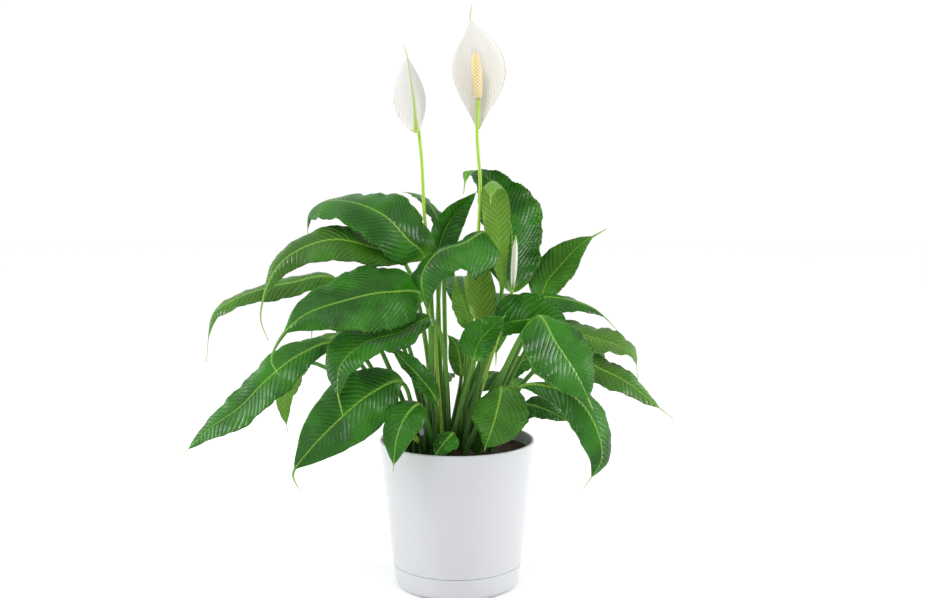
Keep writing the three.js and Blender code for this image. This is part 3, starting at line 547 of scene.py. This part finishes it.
def stalk_of(foot):
    """The stalk's two lowest points: straight up out of the soil."""
    radius, azimuth = foot[0], np.radians(foot[1])
    place = (CROWN_X + radius * np.cos(azimuth), radius * np.sin(azimuth))
    return [(*place, FOOT_BOTTOM), (*place, FOOT_TOP)]


# %% Make the leaves
for number, (name, leaf) in enumerate(LEAVES.items()):
    leaf["pale_young_and_backlit"] = PALE_YOUNG_AND_BACKLIT.get(name, 0.0)
    leaf["puff"] = PUFFS.get(name, USUAL_PUFF)
    grid, fields = leaf_surface(leaf, stalk_of(leaf["foot"]), number)
    declare(ring_mesh(name + "_living", grid, LEAF, fields), name)
print(len(LEAVES), "leaves")

# %% [markdown]
# ## Flowers
# What looks like a white petal is a spathe, a leaf that stands behind the flower spike. It is made by the
# same surface as a leaf, with its own fold and still margins, and in a matt white with faint lengthwise
# veins. On its back the midrib is green and runs into the stem.

# %% Spathe material
SPATHE_VEINS_PER_MM = 0.25  # near the foot, and they close up towards the tip


def spathe_material():
    """Petal-like spathe: soft white tissue, matt, faintly veined, with a green midrib behind. Its front is
    painted lighter than its back, and the hollow round the spike is painted in shade.
    """
    material, tree, shader = new_material("white_spathe")
    rib, side, along = [add(tree, "Attribute", output="Fac", attribute_name=name)
                        for name in ("rib", "side", "along")]
    phase = add(tree, "Math", [rib, SPATHE_VEINS_PER_MM], operation="MULTIPLY")
    away = add(tree, "Math", [phase, 0.5], operation="PINGPONG")
    line = add(tree, "MapRange", [away, 0.0, 0.12, 1.0, 0.0], **EASED)
    faint = add(tree, "Math", [line, 0.25], operation="MULTIPLY")

    # Painted shade: the hollow around the spike is painted a little darker and warmer on the spathe's front.
    hollow = add(tree, "MapRange", [rib, 3.0, 14.0, 0.45, 0.0], **EASED)
    low = add(tree, "MapRange", [along, 0.75, 0.5], **EASED)
    shaded = add(tree, "Math", [hollow, low], operation="MULTIPLY")
    inside = add(tree, "Math", [shaded, side], operation="MULTIPLY")

    # The midrib is green behind, and both ends are green all round.
    near_rib = add(tree, "MapRange", [rib, 0.7, 2.6, 1.0, 0.0], **EASED)
    fading = add(tree, "MapRange", [along, 0.1, 0.95, 1.0, 0.35])
    rib_share = add(tree, "Math", [near_rib, fading], operation="MULTIPLY")
    back = add(tree, "Math", [1.0, side], operation="SUBTRACT")
    green = add(tree, "Math", [rib_share, back], operation="MULTIPLY")
    base = add(tree, "MapRange", [along, 0.0, 0.07, 0.8, 0.0], **EASED)
    tip = add(tree, "MapRange", [along, 0.84, 0.97, 0.0, 0.8], **EASED)
    ends = add(tree, "Math", [base, tip], operation="MAXIMUM")
    # Painted light and shade: the white front is painted lighter than its back, as lit and shaded copies of
    # one white. The faint veins, the green midrib behind and the green ends are the spathe's own colours.
    colour = linear("#CAC9C5")
    for share, over in ((side, "#DFDED9"), (faint, "#A3A391"), (inside, "#B8AE98"), (green, "#93AE45"),
                        (ends, "#A3BF55")):
        colour = add(tree, "Mix", {"Factor": share, "A": colour, "B": linear(over)}, **COLOURED)
    tree.links.new(colour, shader.inputs["Base Color"])
    bump = add(tree, "Bump", {"Height": line, "Distance": 0.0003, "Strength": 0.5})
    tree.links.new(bump, shader.inputs["Normal"])
    shader.inputs["Roughness"].default_value = 0.55
    shader.inputs["Subsurface Weight"].default_value = 0.2
    shader.inputs["Subsurface Radius"].default_value = (0.004, 0.004, 0.003)
    return material


SPATHE = spathe_material()
print("material", SPATHE.name)


# %% Spadix, stem and bud materials
POLLEN_PER_METRE = 1800.0  # grains 0.6 mm across, coarser than real pollen so that they show
STREAKS_PER_METRE = 900.0  # streaks about 1.1 mm wide


def spadix_material():
    """Flower spike: a crowd of tiny cream florets, matt, with browner gaps between them."""
    material, tree, shader = new_material("cream_spadix")
    floret = add(tree, "Attribute", output="Fac", attribute_name="floret")
    place = add(tree, "TexCoord", output="Object")
    pollen = add(tree, "TexNoise", {"Vector": place, "Scale": POLLEN_PER_METRE, "Detail": 2.0})
    colour = add(tree, "Mix", {"Factor": floret, "A": linear("#B59A5A"), "B": linear("#EBDDB4")}, **COLOURED)
    tree.links.new(colour, shader.inputs["Base Color"])
    bump = add(tree, "Bump", {"Height": pollen, "Distance": 0.0003, "Strength": 0.6})
    tree.links.new(bump, shader.inputs["Normal"])
    shader.inputs["Roughness"].default_value = 0.75
    return material


def stem_material():
    """Flower stem: smooth fresh green skin with faint lengthwise streaks."""
    material, tree, shader = new_material("fresh_green_stem")
    place = add(tree, "TexCoord", output="Object")
    stretched = add(tree, "Mapping", {"Vector": place, "Scale": (1.0, 1.0, 0.05)})
    streak = add(tree, "TexNoise", {"Vector": stretched, "Scale": STREAKS_PER_METRE, "Detail": 2.0})
    colour = add(tree, "Mix", {"Factor": streak, "A": linear("#76A31F"), "B": linear("#B0D042")}, **COLOURED)
    tree.links.new(colour, shader.inputs["Base Color"])
    bump = add(tree, "Bump", {"Height": streak, "Distance": 0.0002, "Strength": 0.4})
    tree.links.new(bump, shader.inputs["Normal"])
    shader.inputs["Roughness"].default_value = 0.45
    return material


def bud_material():
    """Rolled young spathe: matt white, green along the sheet's free edge and at both ends."""
    material, tree, shader = new_material("rolled_white_bud")
    sheet, along = [add(tree, "Attribute", output="Fac", attribute_name=name) for name in ("sheet", "along")]
    edge = add(tree, "MapRange", [sheet, 0.8, 0.95], **EASED)
    middle = add(tree, "Math", [along, 0.5], operation="SUBTRACT")
    off_middle = add(tree, "Math", [middle], operation="ABSOLUTE")
    ends = add(tree, "MapRange", [off_middle, 0.3, 0.48], **EASED)
    green = add(tree, "Math", [edge, ends], operation="MAXIMUM")
    colour = add(tree, "Mix", {"Factor": green, "A": linear("#DEDFCF"), "B": linear("#8DB04C")}, **COLOURED)
    tree.links.new(colour, shader.inputs["Base Color"])
    shader.inputs["Roughness"].default_value = 0.5
    return material


SPADIX = spadix_material()
STEM = stem_material()
ROLLED = bud_material()
print("materials", SPADIX.name, STEM.name, ROLLED.name)

# %% Flower table
GAP = 0.3
SPATHE_SEED = 100
FLOWER_STEM_RADIUS = 1.6
SPADIX_RADIUS = 5
FLOWERS = {
    "flower_1": dict(
        foot=(10, 216),
        stem=[(-27, -5, 314), (-31, -6, 365), (-33, -6, 409), (-35, -5, 430), (-37, -2, 448)],
        spadix_top=(-42, 7, 486),
        spathe=dict(heading=-70, width=20, roll=(0, 0), fold=(30, 15), cup=-25, tail=0.12,
                    outline=(0.8, 1.1), wave=0,
                    blade=[(-37.5, -11, 436), (-40, -14, 466), (-44, -12, 492), (-46.5, -8, 508),
                           (-49, -6, 516)])),
    "flower_2": dict(
        foot=(10, 0), stem=[(18, -2, 300), (20, -2, 336), (22, -2, 388), (19, -2, 434), (20, -6, 468)],
        spadix_top=(17, -8, 511),
        spathe=dict(heading=90, width=30, roll=(0, 0), fold=(30, 10), cup=-25, tail=0.12,
                    outline=(1.2, 1.2), wave=0,
                    blade=[(20, 2.6, 440), (20.5, 8, 466), (20.5, 12, 492), (17, 12, 524), (12.5, 9, 543),
                           (14, 6, 555)])),
}
BUD = dict(foot=(22, 38), stem=[(54, 22, 285)], tip=(57, 24, 338), radius=3.4)


# %% Stems and spikes
STEM_ROWS, STEM_COLUMNS = 90, 20
SPADIX_ROWS, SPADIX_COLUMNS = 150, 96
BUD_ROWS, BUD_COLUMNS = 90, 48
FLORETS_ROUND, FLORET_TWIST = 4, 42  # how fast the two families of florets wind, per radian and per length
FLORET_HEIGHT = 0.5


def shares_and_angles(rows, columns):
    """Shares of the length down the rows, and angles round the columns."""
    return np.linspace(0, 1, rows)[:, None], np.linspace(0, 2 * np.pi, columns, endpoint=False)[None, :]


def tube_grid(points, radius):
    """A round tube: circles of the radius around a smooth curve, across its tangent."""
    samples, lengths, _ = smooth_curve(points)
    centre, tangents = along_curve(samples, lengths, np.linspace(0, lengths[-1], STEM_ROWS))
    across, normal = leaf_frame(tangents, 0.0, np.zeros(STEM_ROWS))
    angle = -np.linspace(0, 2 * np.pi, STEM_COLUMNS, endpoint=False)[None, :, None]
    ribs = 1 + 0.03 * np.cos(7 * angle)
    circle = across[:, None] * np.cos(angle) + normal[:, None] * np.sin(angle)
    return (centre[:, None] + radius * ribs * circle) * MM


def spike_grid(start, end, radius_at, rows, columns):
    """A surface round a straight axis: `radius_at(s, angle)` gives its radius at share s of the length."""
    start, end = np.asarray(start, float), np.asarray(end, float)
    axis = (end - start) / np.linalg.norm(end - start)
    across = np.cross(axis, (0.0, 1.0, 0.0))
    across /= np.linalg.norm(across)
    normal = np.cross(axis, across)
    s, angle = shares_and_angles(rows, columns)
    radius = radius_at(s, angle)[..., None]
    ring = across * np.cos(angle)[..., None] + normal * np.sin(angle)[..., None]
    return (start + (end - start) * s[..., None] + radius * ring) * MM


def floret_height(s, angle):
    """Two families of spiral waves cross, and the size of their product is a diamond lattice, 0 to 1."""
    round_it, along_it = FLORETS_ROUND * angle, FLORET_TWIST * s
    return np.abs(np.cos(round_it + along_it) * np.cos(round_it - along_it)) ** 0.7


def spadix_radius(s, angle):
    """A blunt spindle with a round top, and florets that stand out of it."""
    spindle = 1 - (2 * np.abs(s - 0.45)) ** 3.2 * 0.55
    body = spindle * np.sqrt(1 - ((s - 0.85) / 0.15).clip(0, 0.995) ** 2)
    florets = FLORET_HEIGHT * floret_height(s, angle) * np.minimum(body * 2, 1)
    return (SPADIX_RADIUS - FLORET_HEIGHT) * body + florets


def sheet_share(s, angle):
    """How far round its roll the sheet of the bud is, 0 to 1. The sheet's edge winds up the bud."""
    return (angle / (2 * np.pi) + 0.35 * s) % 1


def bud_radius(s, angle):
    """A rolled spathe: a spindle whose radius grows once round and drops back at the sheet's edge."""
    body = np.sin(np.pi * (0.1 + 0.88 * s)) ** 0.7
    return BUD["radius"] * body * (0.86 + 0.14 * sheet_share(s, angle))


# %% Make the flowers
for number, (name, flower) in enumerate(FLOWERS.items()):
    stem = stalk_of(flower["foot"]) + flower["stem"]
    tube = ring_mesh(name + "_stem_living", tube_grid(stem, FLOWER_STEM_RADIUS), STEM)
    declare(tube, name + "_stem")
    grid, fields = leaf_surface(flower["spathe"], [], SPATHE_SEED + number)
    fields["along"] = np.linspace(0, 1, grid.shape[0])[:, None]
    declare(ring_mesh(name + "_spathe_living", grid, SPATHE, fields), name + "_spathe")
    foot, top = np.array(stem[-1], float), np.array(flower["spadix_top"], float)
    start = foot + (top - foot) * 2 * GAP / np.linalg.norm(top - foot)
    grid = spike_grid(start, top, spadix_radius, SPADIX_ROWS, SPADIX_COLUMNS)
    florets = {"floret": floret_height(*shares_and_angles(SPADIX_ROWS, SPADIX_COLUMNS))}
    declare(ring_mesh(name + "_spadix_living", grid, SPADIX, florets), name + "_spadix")
print(len(FLOWERS), "flowers")

# %% Make the bud
bud_stem = stalk_of(BUD["foot"]) + BUD["stem"]
tube = ring_mesh("bud_stem_living", tube_grid(bud_stem, FLOWER_STEM_RADIUS), STEM)
declare(tube, "bud_stem")
bud_base = np.array(bud_stem[-1]) + (0, 0, 2 * GAP)
grid = spike_grid(bud_base, BUD["tip"], bud_radius, BUD_ROWS, BUD_COLUMNS)
share, angle = shares_and_angles(BUD_ROWS, BUD_COLUMNS)
rolled = ring_mesh("bud_spathe_living", grid, ROLLED, {"sheet": sheet_share(share, angle), "along": share})
declare(rolled, "bud_spathe")
print("a bud of", BUD_ROWS, "rows")

# %% [markdown]
# ## Pot, tray and soil
# The pot and its tray are turned shapes: a profile swept round the axis. The CAD's flat facets are replaced
# by the same profile at full smoothness. The soil is turned too, and its top is then roughened.

# %% Pot and soil materials
PEEL_PER_METRE = 350.0  # orange peel, about 3 mm from swell to swell
CLOUDS_PER_METRE = 12.0  # slow changes of gloss, about 80 mm across
CRUMBS_PER_METRE = 420.0  # crumbs about 2.4 mm across
PATCHES_PER_METRE = 160.0  # damp and drier patches about 6 mm across


def pot_material():
    """Injection-moulded polypropylene, satin-gloss white: IOR 1.49, with a very slight orange peel."""
    material, tree, shader = new_material("moulded_white_plastic")
    place = add(tree, "TexCoord", output="Object")
    peel = add(tree, "TexNoise", {"Vector": place, "Scale": PEEL_PER_METRE, "Detail": 1.0})
    cloud = add(tree, "TexNoise", {"Vector": place, "Scale": CLOUDS_PER_METRE, "Detail": 2.0})
    colour = add(tree, "Mix", {"Factor": cloud, "A": linear("#B7B8BC"), "B": linear("#BBBCBF")}, **COLOURED)
    tree.links.new(colour, shader.inputs["Base Color"])
    bump = add(tree, "Bump", {"Height": peel, "Distance": 0.0001, "Strength": 0.25})
    tree.links.new(bump, shader.inputs["Normal"])
    rough = add(tree, "MapRange", [cloud, 0.0, 1.0, 0.26, 0.34])
    tree.links.new(rough, shader.inputs["Roughness"])
    shader.inputs["IOR"].default_value = 1.49
    return material


def soil_material():
    """Peat potting mix: damp dark brown crumbs about 2 mm across, with paler dry specks on them."""
    material, tree, shader = new_material("peat_potting_mix")
    place = add(tree, "TexCoord", output="Object")
    crumb = add(tree, "TexVoronoi", {"Vector": place, "Scale": CRUMBS_PER_METRE})
    patch = add(tree, "TexNoise", {"Vector": place, "Scale": PATCHES_PER_METRE, "Detail": 6.0})
    speck = add(tree, "MapRange", [crumb, 0.0, 0.25, 0.35, 0.0])
    damp = add(tree, "Mix", {"Factor": patch, "A": linear("#150B07"), "B": linear("#4A3126")}, **COLOURED)
    colour = add(tree, "Mix", {"Factor": speck, "A": damp, "B": linear("#6B4C38")}, **COLOURED)
    tree.links.new(colour, shader.inputs["Base Color"])
    bump = add(tree, "Bump", {"Height": crumb, "Distance": 0.001, "Strength": 0.8})
    tree.links.new(bump, shader.inputs["Normal"])
    shader.inputs["Roughness"].default_value = 0.95
    return material


POT = pot_material()
SOIL = soil_material()
print("materials", POT.name, SOIL.name)

# %% Turned shapes
POT_HEIGHT = 143
POT_FOOT_RADIUS = 60
POT_RIM_RADIUS = 75
POT_WALL = 3
POT_RIM_ROUND = 1.4
POT_FLOOR_TOP = 10
TRAY_TOP = 22
TRAY_WALL = 2.4
TRAY_FLOOR = 3
TRAY_FOOT_ROUND = 6.5
TRAY_INNER_BEVEL = 4
LINER_FOOT_BEVEL = 5  # the pot's foot inside the tray
SHOULDER_SLOPE = 4  # the pot's inside steps in from this far above the tray's top to this far below it
SEAM_ROUND = 0.4  # rounding of the edges where pot and tray meet
SIDES = 192
AXIS = 0.01  # turned shapes close this far from the axis


def outer(z):
    """The pot's outside radius at height z."""
    return POT_FOOT_RADIUS + (POT_RIM_RADIUS - POT_FOOT_RADIUS) * z / POT_HEIGHT


def liner(z):
    """The pot's outside radius inside the tray."""
    return outer(z) - TRAY_WALL - GAP


def arc(r, z, radius, start, stop, steps=10):
    """A round corner of [radius, z] points, angles in degrees from the radial direction."""
    angle = np.radians(np.linspace(start, stop, steps + 1))
    return list(zip(r + radius * np.cos(angle), z + radius * np.sin(angle)))


def turned_grid(profile, sides=SIDES):
    """A profile of [radius, z] points, from the axis out and back to it, swept round the axis."""
    radius, z = np.array(profile, dtype=float).T
    angle = np.linspace(0, 2 * np.pi, sides, endpoint=False)
    shape = (len(radius), sides)
    return np.stack([radius[:, None] * np.cos(angle), radius[:, None] * np.sin(angle),
                     np.broadcast_to(z[:, None], shape)], axis=-1) * MM


# %% Tray
tray_profile = [
    (AXIS, 0),
    *arc(outer(0) - TRAY_FOOT_ROUND, TRAY_FOOT_ROUND, TRAY_FOOT_ROUND, -90, 0),
    *arc(outer(TRAY_TOP) - SEAM_ROUND, TRAY_TOP - SEAM_ROUND, SEAM_ROUND, 0, 90, 4),
    (outer(TRAY_TOP) - TRAY_WALL, TRAY_TOP),
    (outer(TRAY_FLOOR + TRAY_INNER_BEVEL) - TRAY_WALL, TRAY_FLOOR + TRAY_INNER_BEVEL),
    (outer(TRAY_FLOOR) - TRAY_WALL - TRAY_INNER_BEVEL, TRAY_FLOOR),
    (AXIS, TRAY_FLOOR),
]
declare(ring_mesh("drip_tray_moulded", turned_grid(tray_profile), POT), "drip_tray")
print("tray of", len(tray_profile), "profile points")

# %% Pot
shoulder = TRAY_TOP + GAP
bottom = TRAY_FLOOR + GAP
rim_low = POT_HEIGHT - POT_RIM_ROUND
pot_profile = [
    (AXIS, bottom),
    (liner(bottom) - LINER_FOOT_BEVEL, bottom),
    (liner(bottom + LINER_FOOT_BEVEL), bottom + LINER_FOOT_BEVEL),
    (liner(shoulder), shoulder),
    *arc(outer(shoulder) - SEAM_ROUND, shoulder + SEAM_ROUND, SEAM_ROUND, -90, 0, 4),
    *arc(POT_RIM_RADIUS - POT_RIM_ROUND, rim_low, POT_RIM_ROUND, 0, 90),
    *arc(POT_RIM_RADIUS - POT_WALL + POT_RIM_ROUND, rim_low, POT_RIM_ROUND, 90, 180),
    (outer(shoulder + SHOULDER_SLOPE) - POT_WALL, shoulder + SHOULDER_SLOPE),
    (liner(shoulder - SHOULDER_SLOPE) - POT_WALL, shoulder - SHOULDER_SLOPE),
    (liner(POT_FLOOR_TOP) - POT_WALL, POT_FLOOR_TOP),
    (AXIS, POT_FLOOR_TOP),
]
declare(ring_mesh("pot_moulded", turned_grid(pot_profile), POT), "pot")
print("pot of", len(pot_profile), "profile points")

# %% Soil surface
SOIL_EDGE_TOP = 132
SOIL_CROWN_TOP = 136
SOIL_RINGS = 90
SOIL_SIDES = 280
SOIL_SEED = 7
LATTICE = 64  # random values along each side of the lattice
CRUMBS = ((14, 1.0), (5, 0.9), (2, 0.6))  # size and height of the crumbs


def lattice_noise(x, y, cell, random):
    """Smooth random heights, -1 to 1: random values on a square lattice of the cell size, blended between
    lattice points by the smoothstep of the distance."""
    values = random.uniform(-1, 1, (LATTICE, LATTICE))
    gx, gy = x / cell + LATTICE / 2, y / cell + LATTICE / 2
    ix, iy = np.floor(gx).astype(int), np.floor(gy).astype(int)
    fx, fy = gx - ix, gy - iy
    fx, fy = fx * fx * (3 - 2 * fx), fy * fy * (3 - 2 * fy)
    ix, iy, next_x, next_y = ix % LATTICE, iy % LATTICE, (ix + 1) % LATTICE, (iy + 1) % LATTICE
    near = values[ix, iy] * (1 - fx) + values[next_x, iy] * fx
    far = values[ix, next_y] * (1 - fx) + values[next_x, next_y] * fx
    return near * (1 - fy) + far * fy


def soil_grid():
    """The soil as a turned solid whose top is roughened by three sizes of crumbs. The crumbs are lower near
    the pot's wall and fade out at the axis."""
    low = POT_FLOOR_TOP + GAP
    slack = POT_WALL + GAP
    edge = outer(SOIL_EDGE_TOP) - slack
    step_low, step_high = shoulder - SHOULDER_SLOPE, shoulder + SHOULDER_SLOPE
    side = [(AXIS, low), (liner(low) - slack, low), (liner(step_low) - slack, step_low),
            (outer(step_high) - slack, step_high), (edge, SOIL_EDGE_TOP - 1)]
    top_radius = np.linspace(edge, AXIS, SOIL_RINGS)
    top_z = SOIL_EDGE_TOP - 0.5 + (SOIL_CROWN_TOP - SOIL_EDGE_TOP) * (1 - (top_radius / edge) ** 2)
    grid = turned_grid(side + list(zip(top_radius, top_z)), SOIL_SIDES) / MM
    random = np.random.default_rng(SOIL_SEED)
    x, y = grid[len(side):, :, 0], grid[len(side):, :, 1]
    fade = np.minimum((edge - top_radius) / 4 + 0.15, 1)[:, None] * np.minimum(top_radius / 3, 1)[:, None]
    rough = sum(height * lattice_noise(x, y, cell, random) for cell, height in CRUMBS)
    grid[len(side):, :, 2] += fade * rough
    return grid * MM


declare(ring_mesh("soil_crumbly", soil_grid(), SOIL), "soil")
print("soil with", len(CRUMBS), "sizes of crumbs")

# %% [markdown]
# ## Floor
# A large plain floor, so pale that it meets the white behind it.

# %% Floor
floor_mesh = bpy.data.meshes.new("floor")
floor_mesh.from_pydata([(-4, -3, 0), (4, -3, 0), (4, 5, 0), (-4, 5, 0)], [], [(0, 1, 2, 3)])
floor = bpy.data.objects.new("floor", floor_mesh)
scene.collection.objects.link(floor)
floor_paint, _, floor_shader = new_material("white_floor")
floor_shader.inputs["Base Color"].default_value = linear("#FAFAFA")
floor_shader.inputs["Roughness"].default_value = 0.8
floor_mesh.materials.append(floor_paint)
print("floor laid")
